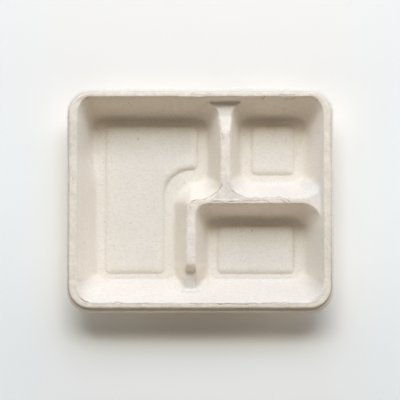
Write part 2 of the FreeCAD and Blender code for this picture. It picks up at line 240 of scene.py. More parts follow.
# Where the divider behind meets the wall its top slopes down evenly to the wall.
slab = 32.0 - np.interp(py, [58.0, 76.0, 88.0], [0.0, 4.7, 5.7])
half = np.interp(py, [58.0, 68.0, 79.0, 83.0, 84.5, 86.6], [3.9, 5.2, 9.0, 10.6, 11.6, 13.6])
lower = np.minimum(top_raw, slab)
near = (px > 8) & (px < 35) & (py > 58) & (np.abs(px - 21.7) < half)
top_raw = np.where(near & (py < 86.8), lower, top_raw)
low_raw = np.where(near & (py < 87.8), np.minimum(low_raw, slab - 1.0), low_raw)

# In front the divider narrows into the wall, and a notch with upright sides is
# pressed into its top.
wall = top_raw[np.argmin(np.abs(GX + 27.0))][None, :]
slim = 5.0 * np.clip((-58.5 - py) / 18.5, 0, 1)
flank = np.minimum(32.0, 32.0 - (np.abs(px + 7.9) - 3.55 + slim) / 0.344)
share = np.clip(0.5 + 0.5 * (flank - wall) / 8.0, 0, 1)
merged = wall + (flank - wall) * share + 8.0 * share * (1 - share)
floor_z = np.interp(-py, [55.3, 57.3, 59.0, 60.6, 62.0, 66.0, 70.0, 80.0],
                    [32.0, 30.9, 28.0, 23.2, 21.4, 20.3, 19.4, 17.5])
full = np.minimum(32.0, 32.0 - (np.abs(px + 7.9) - 3.55) / 0.344)
core = np.abs(px + 8.9) < 4.7 - 1.2 * np.clip((-59.5 - py) / -2.5, 0, 1)
part = smooth((-57.0 - py) / 3) * smooth((px + 26.0) / 4) * smooth((10.0 - px) / 4) * (py > -86.0)
top_raw = np.where(core & (py < -55.2) & (py > -86.0), np.maximum(wall, np.minimum(full, floor_z)),
                   top_raw + (np.minimum(merged, 32.0) - top_raw) * part)
low_raw = np.where((part > 0) | (core & (py < -55.2)), np.minimum(low_raw, top_raw - 1.0), low_raw)
top_map = blur(top_raw, 0.5) + blur(swell(inset_map, more), 0.2)
low_map = blur(low_raw, 0.45) + blur(swell(inset_map - 0.3), 0.35)

# Where the front divider runs out the sheet is softly rounded.
soft = blur(top_raw, 1.3)
here = smooth((-68.0 - py) / 5) * smooth((py + 87.0) / 4) * smooth((px + 18.5) / 3) * smooth((3.0 - px) / 3)
top_map = top_map + (soft - top_map) * here


# --- noise -------------------------------------------------------------------
def lattice(seed):
    return np.random.default_rng(seed).uniform(-1, 1, (256, 256))


LATTICES = {}


def noise(x, y, size, seed):
    """Smooth value noise in -1..1 with features about size millimetres wide."""
    g = LATTICES.setdefault(seed, lattice(seed))
    u, v = x / size + 97.3, y / size + 61.7
    i, j = np.floor(u).astype(int), np.floor(v).astype(int)
    a, b = u - i, v - j
    a, b = a * a * a * (a * (a * 6 - 15) + 10), b * b * b * (b * (b * 6 - 15) + 10)
    i0, j0, i1, j1 = i % 256, j % 256, (i + 1) % 256, (j + 1) % 256
    return ((g[i0, j0] * (1 - a) + g[i1, j0] * a) * (1 - b)
            + (g[i0, j1] * (1 - a) + g[i1, j1] * a) * b)


def rough(x, y, size, seed, octaves=3, gain=0.5):
    total, amp, norm = 0.0, 1.0, 0.0
    for k in range(octaves):
        total = total + amp * noise(x, y, size / 2 ** k, seed + 31 * k)
        norm += amp
        amp *= gain
    return total / norm


def skirt(x, y, z, low):
    """Lay the rim's profile over height z: bead at the mouth, shallow step, skirt, lip."""
    out = past_mouth(x, y)
    d = in_foot(x, y) - (1.0 if low else 0.0)
    foot = (LIP_LOW if low else LIP_TOP) + 0.7
    wavy = out + 0.30 * noise(x, y, 7.5, 71) + 0.16 * noise(x, y, 2.7, 72)
    z = z - 0.42 * smooth((wavy - 0.3) / 1.15)
    t = 1 - np.clip(d / 2.8, 0, 1)
    z = np.where(d < 2.8, foot + (z - foot) * np.sqrt(np.maximum(1 - t * t, 0)), z)
    return np.where(d < 0, foot - 0.4 * np.clip(-d / 0.3, 0, 1) + 0.27 * d, z)


# --- plan of the mesh --------------------------------------------------------
LEGS = (138, 30, 170, 30)
ROUND = 2 * sum(LEGS)


def outline(ring, step=1, shift=0.0):
    """Points round an outline, the same share of them on each side and corner."""
    a, b, r = ring
    pts = []
    for q in range(4):
        turn = q * math.pi / 2
        cx, cy = (a - r, b - r) if q == 0 else (r - a, b - r) if q == 1 else \
                 (r - a, r - b) if q == 2 else (a - r, r - b)
        px, py = (a, r - b) if q == 0 else (a - r, b) if q == 1 else \
                 (-a, b - r) if q == 2 else (r - a, -b)
        n, m = LEGS[2 * (q % 2)], LEGS[1]
        run = 2 * (b - r) if q % 2 == 0 else 2 * (a - r)
        for k in range(0, n, step):
            s = run * (k + shift) / n
            pts.append((px - math.sin(turn) * s, py + math.cos(turn) * s))
        for k in range(0, m, step):
            t = turn + math.pi / 2 * (k + shift) / m
            pts.append((cx + r * math.cos(t), cy + r * math.sin(t)))
    return np.array(pts)


def between(p, q, t):
    return tuple(u + (v - u) * t for u, v in zip(p, q))


def inward(ring, d):
    return tuple(v - d for v in ring)


def ruler(lo, hi, zones, default):
    """Positions from lo to hi whose spacing follows the zones."""
    at, out = lo, [lo]
    while at < hi:
        step = default
        for a, b, s in zones:
            if a <= at < b:
                step = min(step, s)
        at += step
        out.append(at)
    out = np.array(out)
    return lo + (out - lo) * (hi - lo) / (out[-1] - lo)


def plan(loops, step, xs, ys, keep_out, extra=None):
    """Triangles in plan. The first loop is the outline; the rest fill it."""
    points = [outline(inward(LIP, 0.30))]
    for k, ring in enumerate(loops):
        points.append(outline(ring, step, 0.5 * step * ((k + 1) % 2)))
    gx, gy = np.meshgrid(xs, ys, indexing="ij")
    gx, gy = gx.ravel(), gy.ravel()
    ok = inside(gx, gy, MOUTH) > keep_out
    if extra is not None and len(extra):
        i, j = ((gx - GX0) / 0.5).astype(int), ((gy - GY0) / 0.5).astype(int)
        busy = np.zeros((int(2 * HALF_X / 0.5) + 20, int(2 * HALF_Y / 0.5) + 20), bool)
        ei, ej = ((extra[:, 0] - GX0) / 0.5).astype(int), ((extra[:, 1] - GY0) / 0.5).astype(int)
        busy[ei, ej] = True
        ok &= ~busy[i, j]
        points.append(extra)
    points.append(np.c_[gx[ok], gy[ok]])
    pts = np.vstack(points)
    got = delaunay_2d_cdt([Vector(p) for p in pts], [], [list(range(ROUND))], 1, 1e-6)
    verts = np.array([(v.x, v.y) for v in got[0]])
    tris = np.array([f for f in got[2] if len(f) == 3], int)
    first = {}
    for new, olds in enumerate(got[3]):
        for o in olds:
            first[o] = new
    ring = [first[i] for i in range(ROUND)]
    a, b, c = verts[tris[:, 0]], verts[tris[:, 1]], verts[tris[:, 2]]
    area = (b[:, 0] - a[:, 0]) * (c[:, 1] - a[:, 1]) - (b[:, 1] - a[:, 1]) * (c[:, 0] - a[:, 0])
    tris = tris[np.abs(area) > 1e-7]
    area = area[np.abs(area) > 1e-7]
    tris[area < 0] = tris[area < 0][:, ::-1]
    return verts, tris, ring


def rim_loops(lip, skirt_d, flat, mouth):
    """Outlines across the rim: on the lip, up the skirt, over the flat, into the mouth."""
    rings = [between(LIP, FOOT, t) for t in lip]
    rings += [between(FOOT, FLAT, d / 2.8) for d in skirt_d]
    rings += [between(FLAT, MOUTH, t) for t in flat]
    return rings + [inward(MOUTH, d) for d in mouth]


# --- creases and folds ---------------------------------------------------------
# Depth (negative stands proud), half width, painted shade, then the points along it.
MARKS = [
    (0.45, 0.42, 0.55, [(19.3, 15.3), (17.9, 13.3), (18.4, 12.7), (17.0, 10.3), (15.8, 8.8), (15.0,
         7.6), (12.7, 5.7), (10.5, 4.1), (9.1, 3.3), (6.8, 2.3), (4.5, 1.1), (2.0, 0.6), (-0.7,
         0.3), (-3.4, 0.3), (-5.1, -0.1), (-7.0, -1.5), (-7.8, -2.8)]),
    (0.38, 0.42, 0.38, [(25.2, 11.3), (26.4, 8.9), (28.7, 7.1), (31.2, 5.2), (34.7, 4.0), (37.0,
         3.2), (39.0, 2.3), (40.8, 1.6), (45.1, 1.4), (47.2, 2.2), (49.8, 1.6), (54.6, 1.6), (57.2,
         2.5), (59.3, 1.9), (64.5, 1.5), (66.7, 2.4), (68.4, 2.5), (70.6, 1.9), (73.2, 1.4), (74.5,
         0.6), (76.2, -0.7), (77.9, -1.9), (78.8, -2.7)]),
    (0.35, 0.40, 0.35, [(68.8, 0.7), (70.6, -0.3), (72.7, -2.0), (74.5, -2.9)]),
    (0.30, 0.40, 0.30, [(74.9, 1.4), (77.9, 1.5)]),
    (0.30, 0.38, 0.32, [(10.7, -1.5), (13.4, -1.2), (16.6, -1.7), (19.0, -2.0), (21.7, -2.9), (24.1,
         -1.9), (29.5, -1.3), (37.4, -1.2), (42.9, -0.4), (44.2, -1.1), (47.7, -1.0), (49.8, -0.4),
         (53.3, -0.3), (57.2, -0.7), (58.5, -1.6), (61.1, -2.9)]),
    (-0.28, 0.50, 0.00, [(9.2, -0.4), (14.4, -0.0), (20.4, -0.4), (26.5, -0.1), (31.7, -0.0)]),
    (-0.30, 0.42, 0.00, [(71.0, 0.8), (73.4, -0.9), (75.6, -2.2)]),
    (0.30, 0.50, 0.25, [(-9.4, -4.2), (-8.5, -6.8), (-9.3, -8.9)]),
    (0.40, 0.45, 0.32, [(-103.0, -84.2), (-100.6, -86.2), (-98.2, -87.2), (-96.0, -87.7)]),
    (-0.30, 0.50, 0.00, [(-105.7, -83.4), (-103.3, -86.1), (-100.1, -88.3)]),
    (0.40, 0.40, 0.40, [(-73.5, -87.7), (-70.6, -87.8), (-68.6, -88.4), (-65.9, -88.9)]),
    (-0.35, 0.50, 0.00, [(-71.4, -89.8), (-69.2, -89.3)]),
    (0.40, 0.38, 0.40, [(-52.9, -88.8), (-50.9, -89.6), (-49.5, -88.5)]),
    (0.40, 0.38, 0.35, [(-48.6, -89.5), (-47.3, -88.3), (-45.4, -88.4), (-44.6, -89.6)]),
    (-0.40, 0.45, 0.00, [(-52.1, -90.3), (-49.6, -91.1), (-47.8, -90.2), (-45.7, -91.0)]),
    (0.35, 0.40, 0.35, [(14.1, -88.6), (16.0, -89.6), (22.0, -89.0), (26.3, -89.4), (30.6, -89.6),
         (40.4, -89.6), (43.0, -88.6), (48.2, -88.8), (49.9, -90.5)]),
    (0.35, 0.40, 0.35, [(52.8, -88.6), (59.3, -88.7), (63.8, -88.3), (69.1, -88.6), (73.1, -87.9),
         (75.5, -87.4)]),
    (-0.35, 0.45, 0.00, [(69.1, -90.7), (71.2, -89.6), (74.3, -89.0)]),
    (0.30, 0.40, 0.30, [(-9.7, -89.1), (-7.2, -88.8), (-1.2, -89.2), (2.3, -88.8)]),
    (0.30, 0.42, 0.25, [(95.2, -86.4), (97.4, -85.7), (99.3, -84.3), (101.4, -83.1), (103.1,
         -81.8)]),
    (0.32, 0.42, 0.30, [(-8.5, 90.7), (-5.5, 92.2), (-2.0, 93.6), (2.7, 94.0)]),
    (0.35, 0.40, 0.35, [(2.7, 93.4), (5.3, 92.0), (8.0, 91.6), (9.2, 90.1)]),
    (-0.35, 0.50, 0.00, [(-5.0, 90.8), (-1.2, 91.7), (3.6, 91.0), (7.1, 90.3)]),
    (0.35, 0.40, 0.30, [(51.8, 88.4), (53.7, 87.7), (55.2, 88.8), (53.9, 89.9)]),
    (0.35, 0.40, 0.35, [(66.5, 89.8), (68.6, 90.6), (72.0, 89.9), (75.5, 90.1), (80.3, 90.4), (82.0,
         89.3)]),
    (-0.35, 0.50, 0.00, [(67.5, 89.2), (72.1, 89.0), (77.3, 89.5), (81.2, 88.7)]),
    (0.35, 0.40, 0.30, [(72.5, 87.3), (74.8, 87.8), (77.7, 87.4), (82.2, 88.3)]),
    (0.22, 0.40, 0.20, [(39.3, 92.5), (44.5, 92.7), (50.5, 92.4)]),
    (0.22, 0.40, 0.20, [(65.1, 92.7), (68.9, 92.2), (71.1, 92.6)]),
    (0.30, 0.40, 0.30, [(-109.8, 20.6), (-109.4, 16.0)]),
    (0.30, 0.40, 0.30, [(-108.9, 5.2), (-109.0, 1.2)]),
    (0.25, 0.35, 0.25, [(-111.6, 41.3), (-111.4, 38.4)]),
    (0.25, 0.35, 0.25, [(-112.6, 24.2), (-112.5, 21.2)]),
    (0.22, 0.45, 0.22, [(18.1, 58.2), (19.3, 59.6), (22.2, 59.0), (25.3, 59.9)]),
    (0.20, 0.40, 0.22, [(-17.6, -79.9), (-11.5, -80.1), (-5.5, -79.9), (-0.2, -80.0)]),
    (0.18, 0.38, 0.14, [(-8.5, -77.6), (-4.7, -76.2), (-0.4, -79.7)]),
    (0.15, 0.38, 0.12, [(-17.4, -79.8), (-14.7, -78.4), (-13.8, -77.1)]),
    (0.28, 0.40, 0.28, [(12.6, 80.5), (14.9, 77.4), (16.1, 73.5), (17.0, 68.3), (17.5, 62.2),
         (18.6, 57.0), (19.6, 51.3)]),
    (0.30, 0.42, 0.30, [(-106.3, 84.3), (-104.1, 86.2), (-102.6, 87.6), (-100.5, 89.0)]),
    (-0.35, 0.45, 0.00, [(-107.2, 85.6), (-104.8, 87.7), (-102.4, 89.6)]),
]


def crease_and_painted_shade(x, y):
    """Depth of the creases, and the painted shade in them, at points of the sheet."""
    deep, dark = np.zeros(len(x)), np.zeros(len(x))
    for depth, width, shade, pts in MARKS:
        near = np.full(len(x), 9.0)
        for (x0, y0), (x1, y1) in zip(pts[:-1], pts[1:]):
            hit = (x > min(x0, x1) - 3) & (x < max(x0, x1) + 3) \
                & (y > min(y0, y1) - 3) & (y < max(y0, y1) + 3)
            if not hit.any():
                continue
            dx, dy = x1 - x0, y1 - y0
            t = np.clip(((x[hit] - x0) * dx + (y[hit] - y0) * dy) / (dx * dx + dy * dy), 0, 1)
            near[hit] = np.minimum(near[hit], np.hypot(x[hit] - x0 - t * dx, y[hit] - y0 - t * dy))
        ends = np.minimum(np.hypot(x - pts[0][0], y - pts[0][1]), np.hypot(x - pts[-1][0], y - pts[-1][1]))
        fade = smooth((ends + 0.5) / 2.0) * (0.8 + 0.45 * noise(x, y, 2.2, 81))
        groove = np.exp(-(near / width) ** 2)
        deep += 1.35 * depth * fade * (groove - 0.35 * np.exp(-((near - 2.1 * width) / (0.9 * width)) ** 2))
        # Painted shade along the middle of each fold.
        dark = np.maximum(dark, np.minimum(0.85, 1.7 * shade * fade) * np.exp(-(near / (1.2 * width)) ** 2))
    return deep, dark


def along_marks():
    """Extra mesh points along the panels' edges and the creases."""
    out, taken = [], set()
    rings = []
    for x0, x1, y0, y1 in PANEL_MID:
        w, h = (x1 - x0) / 2, (y1 - y0) / 2
        for off in (-0.75, -0.3, 0.15, 0.6, 1.2, 2.1, 3.3):
            p = outline((w - off, h - off, 4.5 - off))
            rings.append(p + ((x0 + x1) / 2, (y0 + y1) / 2))
    for off in (-0.75, -0.3, 0.15, 0.6, 1.2, 2.1, 3.3, 4.6):
        t = np.radians(np.arange(88, 182, 1.6))
        rings.append(np.c_[-7.5 + (25 + off) * np.cos(t), 2.6 + (25 + off) * np.sin(t)])
    for p in rings:
        d = in_panels(p[:, 0], p[:, 1])
        last = (1e9, 1e9)
        for (x, y), far in zip(p, d):
            if far > 3.6 or math.hypot(x - last[0], y - last[1]) < 1.05:
                continue
            i, j = int(round(x / 0.3)), int(round(y / 0.3))
            if (i, j) in taken:
                continue
            taken.add((i, j))
            out.append((x, y))
            last = (x, y)
    for depth, width, shade, pts in MARKS:
        for (x0, y0), (x1, y1) in zip(pts[:-1], pts[1:]):
            run = math.hypot(x1 - x0, y1 - y0)
            n = max(1, int(round(run / 0.5)))
            nx, ny = -(y1 - y0) / run, (x1 - x0) / run
            for k in range(n + 1):
                for off in (0.0, -0.4, 0.4, -0.85, 0.85):
                    x = x0 + (x1 - x0) * k / n + nx * off
                    y = y0 + (y1 - y0) * k / n + ny * off
                    i, j = int(round(x / 0.3)), int(round(y / 0.3))
                    if any((i + u, j + v) in taken for u in (-1, 0, 1) for v in (-1, 0, 1)
                           if abs(u) + abs(v) < 2):
                        continue
                    if float(inside(np.array(x), np.array(y), MOUTH)) > 2.3:
                        taken.add((i, j))
                        out.append((x, y))
    return np.array(out)


top_loops = rim_loops((0.3, 0.5, 0.68, 0.82, 0.93),
                      (0.0, 0.1, 0.24, 0.42, 0.65, 0.95, 1.3, 1.7, 2.15, 2.6),
                      (0.0, 0.2, 0.38, 0.54, 0.68, 0.8, 0.9),
                      (0.0, 0.3, 0.6, 0.9, 1.25, 1.65, 2.1))
fine = 0.66
xs = ruler(-103.6, 103.6, [(-104, -88, fine), (-25, 42, fine + 0.04), (88, 104, fine)], 1.7)
ys = ruler(-86.4, 86.4, [(-90, -67, fine), (-20, 20, fine), (68, 90, fine)], 1.7)
top_xy, top_tri, top_ring = plan(top_loops, 1, xs, ys, 2.5, along_marks())

low_loops = rim_loops((0.55,), (0.0, 0.7, 1.0, 1.25, 1.7, 2.3), (0.0, 0.5), (0.0, 0.8, 1.6))
xs = ruler(-104.0, 104.0, [(-106, -83, 1.2), (-25, 42, 1.3), (83, 106, 1.2)], 2.6)
ys = ruler(-86.8, 86.8, [(-90, -65, 1.2), (-25, 26, 1.2), (65, 90, 1.2)], 2.6)
low_xy, low_tri, low_ring = plan(low_loops, 2, xs, ys, 2.1)


# --- the pressed sheet's own irregularities, and painted light and shade -------
def warp(x, y):
    """Sideways drift of every edge, in millimetres."""
    dx = 0.22 * rough(x, y, 34, 11) + 0.12 * rough(x, y, 9, 12, 2)
    dy = 0.22 * rough(x, y, 34, 13) + 0.12 * rough(x, y, 9, 14, 2)
    return dx, dy


def lift(x, y, z):
    """Rise and fall of the sheet, in millimetres."""
    share = np.clip(z / TOP_Z, 0, 1)
    return 0.25 * share * rough(x, y, 60, 21, 2) + 0.10 * rough(x, y, 14, 22, 2) * (0.3 + 0.7 * share)


def paint_light_shade_and_tone(x, y, z):
    """Painted shade along the rim's foot, the front lip and the panels' feet; painted light and shade by area and
    in each colour channel, with random patches of the sheet's own colour; and how strong the grain's bump is.
    """
    d = in_foot(x, y)
    # Painted shade in the crevice at the foot of the rim's skirt: darkest along the front, stronger at the left
    # end and along the back.
    share = 0.28 + 0.46 * smooth((-y - 35) / 42) + 0.10 * smooth((-x - 80) / 30) + 0.2 * smooth((y - 78) / 8)
    dark = share * np.exp(-((d - 0.3) / 0.85) ** 2) * (0.92 + 0.16 * noise(x, y, 6.0, 91))
    # Painted shade on the front lip, deepest at its outer edge.
    front = smooth((-y - 60) / 25)
    dark = np.maximum(dark, (0.20 + 0.2 * smooth((-1.9 - d) / 0.6)) * smooth((0.4 - d) / 0.8) * front)
    # Painted shade along the foot of each floor panel, a little stronger on the right.
    edge = in_panels(x, y)
    line = 0.15 + 0.07 * smooth((x - 5) / 10)
    dark = np.maximum(dark, line * np.exp(-((edge - 0.1) / 0.85) ** 2) * (0.85 + 0.5 * noise(x, y, 8.0, 92)))
    # Masks for the painted light and shade: the front wall, the cross divider's face towards the back, the side
    # walls, the rim's crest and the divider tops.
    mouth = inside(x, y, MOUTH)
    walled = smooth(mouth / 1.5)
    front = smooth((-66.5 - y) / 3) * walled
    cross = smooth((x - 18) / 5) * smooth((y - 1) / 2) * smooth((20 - y) / 4) * walled
    sides = smooth((np.abs(x) - 92) / 3) * walled * (1 - front) * smooth((72 - y) / 8)
    crest = smooth(-mouth / 0.8) * smooth((d + 0.5) / 1.0)
    tops = smooth((z - 27) / 3) * smooth((mouth - 4.5) / 4)
    # Painted shade and light by area: darker on the rim's crest at the back, on the right front panel and on the
    # back of the left panel; lighter at the front of the left compartment, round the notch in the front divider,
    # and in a strip in front of the cross divider right of the middle.
    tone_and_painted_light_shade = 1.0 - 0.055 * smooth((y - 84.5) / 2) * crest
    tone_and_painted_light_shade = tone_and_painted_light_shade - 0.055 * smooth((x - 12) / 6) * smooth((-20 - y) / 5) * smooth((y + 66) / 12)
    tone_and_painted_light_shade = tone_and_painted_light_shade - 0.07 * smooth((-5 - x) / 6) * smooth((y - 30) / 22) * smooth((68.5 - y) / 2)
    tone_and_painted_light_shade = tone_and_painted_light_shade + 0.02 * smooth((-12 - x) / 6) * smooth((-20 - y) / 20)
    tone_and_painted_light_shade = tone_and_painted_light_shade + 0.08 * smooth((x + 24) / 3) * smooth((7 - x) / 3) * smooth((-52 - y) / 5) * smooth((y + 75) / 4)
    tone_and_painted_light_shade = tone_and_painted_light_shade + 0.025 * smooth(x / 4) * smooth((-4 - y) / 2) * smooth((y + 20) / 5)
    # Random patches of the sheet's own colour on the rim's crest and the divider tops.
    tone_and_painted_light_shade = tone_and_painted_light_shade + (crest * smooth(d / 1.0) + tops) * (0.055 * noise(x, y, 2.3, 93)
                                                      + 0.045 * noise(x, y, 5.5, 94))
    # Painted light and shade in each colour channel: darker on the front wall and on the cross divider's face
    # towards the back, lighter on the side walls, warmer on the rim's crest and the divider tops, and a painted
    # cool light on the rim's outer edge at the back.
    colour = []
    brink = smooth((y - 84) / 4) * smooth((0.2 - d) / 0.6)
    for c_front, c_cross, c_sides, c_crest, c_tops, c_brink in (
            (-0.085, -0.065, 0.035, -0.015, 0.035, -0.03), (-0.080, -0.045, 0.045, -0.045, -0.005, 0.01),
            (-0.050, -0.010, 0.065, -0.080, -0.020, 0.06)):
        colour.append(tone_and_painted_light_shade * (1 + c_front * front + c_cross * cross + c_sides * sides
                              + c_crest * crest + c_tops * tops + c_brink * brink))
    colour.append(np.ones(len(x)))
    grain = 1 - 0.65 * smooth((-66.5 - y) / 4) * walled
    grain -= 0.4 * smooth((x - 30) / 6) * smooth((y - 2) / 3) * walled
    return dark, np.stack(colour, 1), grain


def shaped(xy, base, seed, low):
    x, y = xy[:, 0], xy[:, 1]
    z = skirt(x, y, sample(base, x, y), low)
    dx, dy = warp(x, y)
    z2 = z + lift(x, y, z)
    ridge = smooth((z - 27) / 3) * smooth((inside(x, y, MOUTH) - 0.5) / 1.5)
    z2 = z2 + ridge * 0.13 * rough(x, y, 4.2, 45, 2)
    z2 = z2 + 0.045 * noise(x, y, 2.6, seed) + 0.025 * noise(x, y, 1.3, seed + 1)
    if low:
        z2 = np.maximum(z2, 0.02)
        return np.c_[x + dx, y + dy, z2], None
    # Painted shade from the creases, the rim's foot and the panels' feet, and painted light and shade by area.
    deep, dark = crease_and_painted_shade(x, y)
    shade, tone_and_painted_light_shade, grain = paint_light_shade_and_tone(x, y, z)
    on_rim = smooth(-inside(x, y, MOUTH) / 0.8) * smooth((in_foot(x, y) - 0.5) / 1.0)
    z2 = z2 - deep + on_rim * 0.07 * rough(x, y, 3.0, 95, 2)
    return np.c_[x + dx, y + dy, z2], (np.maximum(dark, shade), tone_and_painted_light_shade, grain)


top_co, top_look = shaped(top_xy, top_map, 41, False)
low_co, low_look = shaped(low_xy, low_map, 51, True)

# Rounded outer edge of the lip, between the two skins.
rim_at = [(0.09, 0.84), (0.0, 0.5), (0.09, 0.16)]
n_top, n_low = len(top_co), len(low_co)
co = [top_co, low_co]
rings = [[i for i in top_ring]]
start = n_top + n_low
up_z, dn_z = top_co[top_ring, 2], low_co[low_ring, 2]
for inset, share in rim_at:
    p = outline(inward(LIP, inset))
    dx, dy = warp(p[:, 0], p[:, 1])
    ragged = 0.10 * noise(p[:, 0], p[:, 1], 1.9, 61) + 0.08 * noise(p[:, 0], p[:, 1], 5.0, 62)
    nrm = p - outline(inward(LIP, inset + 1.0))
    p = p + nrm * ragged[:, None]
    co.append(np.c_[p[:, 0] + dx, p[:, 1] + dy, dn_z + (up_z - dn_z) * share])
    rings.append(list(range(start, start + ROUND)))
    start += ROUND
rings.append([n_top + i for i in low_ring])
co = np.vstack(co)
tris = [top_tri, low_tri[:, ::-1] + n_top]
for a, b in zip(rings[:-1], rings[1:]):
    a, b = np.array(a), np.array(b)
    a2, b2 = np.roll(a, -1), np.roll(b, -1)
    tris.append(np.c_[a, b, b2])
    tris.append(np.c_[a, b2, a2])
tris = np.vstack(tris)
print("tray shell: %d vertices, %d triangles" % (len(co), len(tris)))

mesh = bpy.data.meshes.new("tray_shell")
mesh.vertices.add(len(co))
mesh.vertices.foreach_set("co", (co / MM).astype(np.float32).ravel())
mesh.loops.add(len(tris) * 3)
mesh.loops.foreach_set("vertex_index", tris.astype(np.int32).ravel())
mesh.polygons.add(len(tris))
mesh.polygons.foreach_set("loop_start", np.arange(0, len(tris) * 3, 3, dtype=np.int32))
mesh.polygons.foreach_set("loop_total", np.full(len(tris), 3, np.int32))
mesh.update(calc_edges=True)
mesh.validate()
mesh.polygons.foreach_set("use_smooth", np.ones(len(mesh.polygons), bool))
# Painted shade of the creases, the rim's foot and the panels' feet, and the grain's bump strength, kept per
# point.
for name, look, rest in (("crease_and_painted_shade", top_look[0], 0.0), ("grain", top_look[2], 1.0)):
    value = np.full(len(co), rest, np.float32)
    value[:n_top] = np.clip(look, 0.0, 1.0)
    mesh.attributes.new(name, "FLOAT", "POINT").data.foreach_set("value", value)
# Painted light and shade by area, with random patches of the sheet's own colour, kept per point.
value = np.ones((len(co), 4), np.float32)
value[:n_top] = top_look[1]
mesh.attributes.new("tone_and_painted_light_shade", "FLOAT_COLOR", "POINT").data.foreach_set("color", value.ravel())
shell = bpy.data.objects.new("tray_shell", mesh)
bpy.context.scene.collection.objects.link(shell)
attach(shell, "root")
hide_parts("tray")


# --- materials -----------------------------------------------------------------
class Tree:
    """Short hand for building node trees."""

    def __init__(self, name):
        self.mat = bpy.data.materials.new(name)
        self.mat.use_nodes = True
        self.t = self.mat.node_tree
        self.t.nodes.clear()

    def add(self, kind, **props):
        n = self.t.nodes.new(kind)
        for k, v in props.items():
            setattr(n, k, v)
        return n

    def join(self, a, b):
        self.t.links.new(a, b)

    def put(self, node, name, value):
        if isinstance(value, bpy.types.NodeSocket):
            self.join(value, node.inputs[name])
        else:
            node.inputs[name].default_value = value

    def noise(self, vector, scale, detail=3.0, roughness=0.5, distortion=0.0):
        n = self.add("ShaderNodeTexNoise")
        self.join(vector, n.inputs["Vector"])
        self.put(n, "Scale", scale)
        self.put(n, "Detail", detail)
        self.put(n, "Roughness", roughness)
        self.put(n, "Distortion", distortion)
        return n.outputs["Fac"]

    def ramp(self, fac, lo, hi, a=0.0, b=1.0):
        n = self.add("ShaderNodeMapRange", clamp=True)
        self.join(fac, n.inputs["Value"])
        self.put(n, "From Min", lo)
        self.put(n, "From Max", hi)
        self.put(n, "To Min", a)
        self.put(n, "To Max", b)
        return n.outputs["Result"]

    def math(self, op, a, b=None, c=None):
        n = self.add("ShaderNodeMath", operation=op)
        for i, v in enumerate((a, b, c)):
            if v is not None:
                self.put(n, i, v)
        return n.outputs[0]

    def mix(self, fac, a, b, blend="MIX"):
        n = self.add("ShaderNodeMix", data_type="RGBA", blend_type=blend)
        self.put(n, 0, fac)
        self.put(n, 6, a)
        self.put(n, 7, b)
        return n.outputs[2]


# Larger dark specks: place, size and strength.
SPECKS = [(-62.7, 84.7, 0.50, 0.60), (-43.4, 78.0, 0.45, 0.50), (-55.8, 55.3, 0.75, 0.80),
          (-64.7, 15.9, 0.50, 0.55), (-85.7, -18.9, 0.60, 0.60), (-77.1, -40.3, 0.50, 0.50),
          (-76.6, -43.9, 0.40, 0.40), (0.6, -18.9, 0.50, 0.55), (11.3, -65.3, 0.50, 0.60),
          (23.8, -69.8, 0.45, 0.50), (72.0, -66.2, 0.50, 0.50), (90.7, -57.3, 0.45, 0.50),
          (113.9, -67.0, 0.50, 0.60), (46.1, -26.9, 0.65, 0.70), (34.5, -39.4, 0.50, 0.55),
          (-114.8, 71.5, 0.60, 0.65), (-113.4, 64.0, 0.50, 0.50), (-70.9, -24.3, 0.40,
          0.45), (-31.6, 27.6, 0.40, 0.40), (55.2, 38.3, 0.35, 0.40), (-47.6, -10.9, 0.35,
          0.40), (-100.8, -37.4, 0.45, 0.50)]


